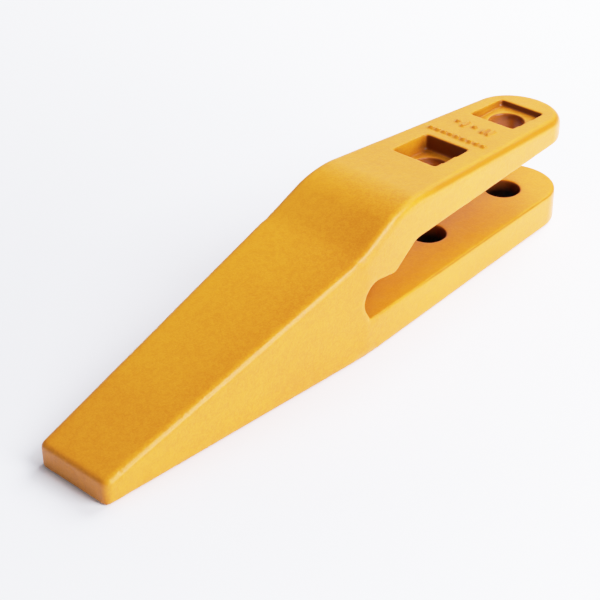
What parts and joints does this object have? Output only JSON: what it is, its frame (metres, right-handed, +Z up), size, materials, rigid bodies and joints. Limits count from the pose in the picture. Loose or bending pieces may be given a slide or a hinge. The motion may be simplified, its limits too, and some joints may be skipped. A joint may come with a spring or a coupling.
{
  "type": "excavator bucket tooth",
  "caption": "Bolt-on bucket tooth: a chisel wedge that forks into straps clamping a bucket lip, with square bolt-head pockets and through holes.",
  "frame": {"origin": "middle of the tooth's length and width, on its flat underside", "axes": "+X from the digging tip towards the strap ends, +Y across the tooth, +Z up from the flat underside"},
  "size_m": [0.377, 0.0706, 0.0783],
  "materials": {
    "cast_yellow_paint": "satin yellow-orange enamel over a fine sand-cast surface, thin and slightly uneven at the edges"
  },
  "bodies": {
    "root": {"tooth_casting": "cast_yellow_paint"}
  },
  "joints": []
}
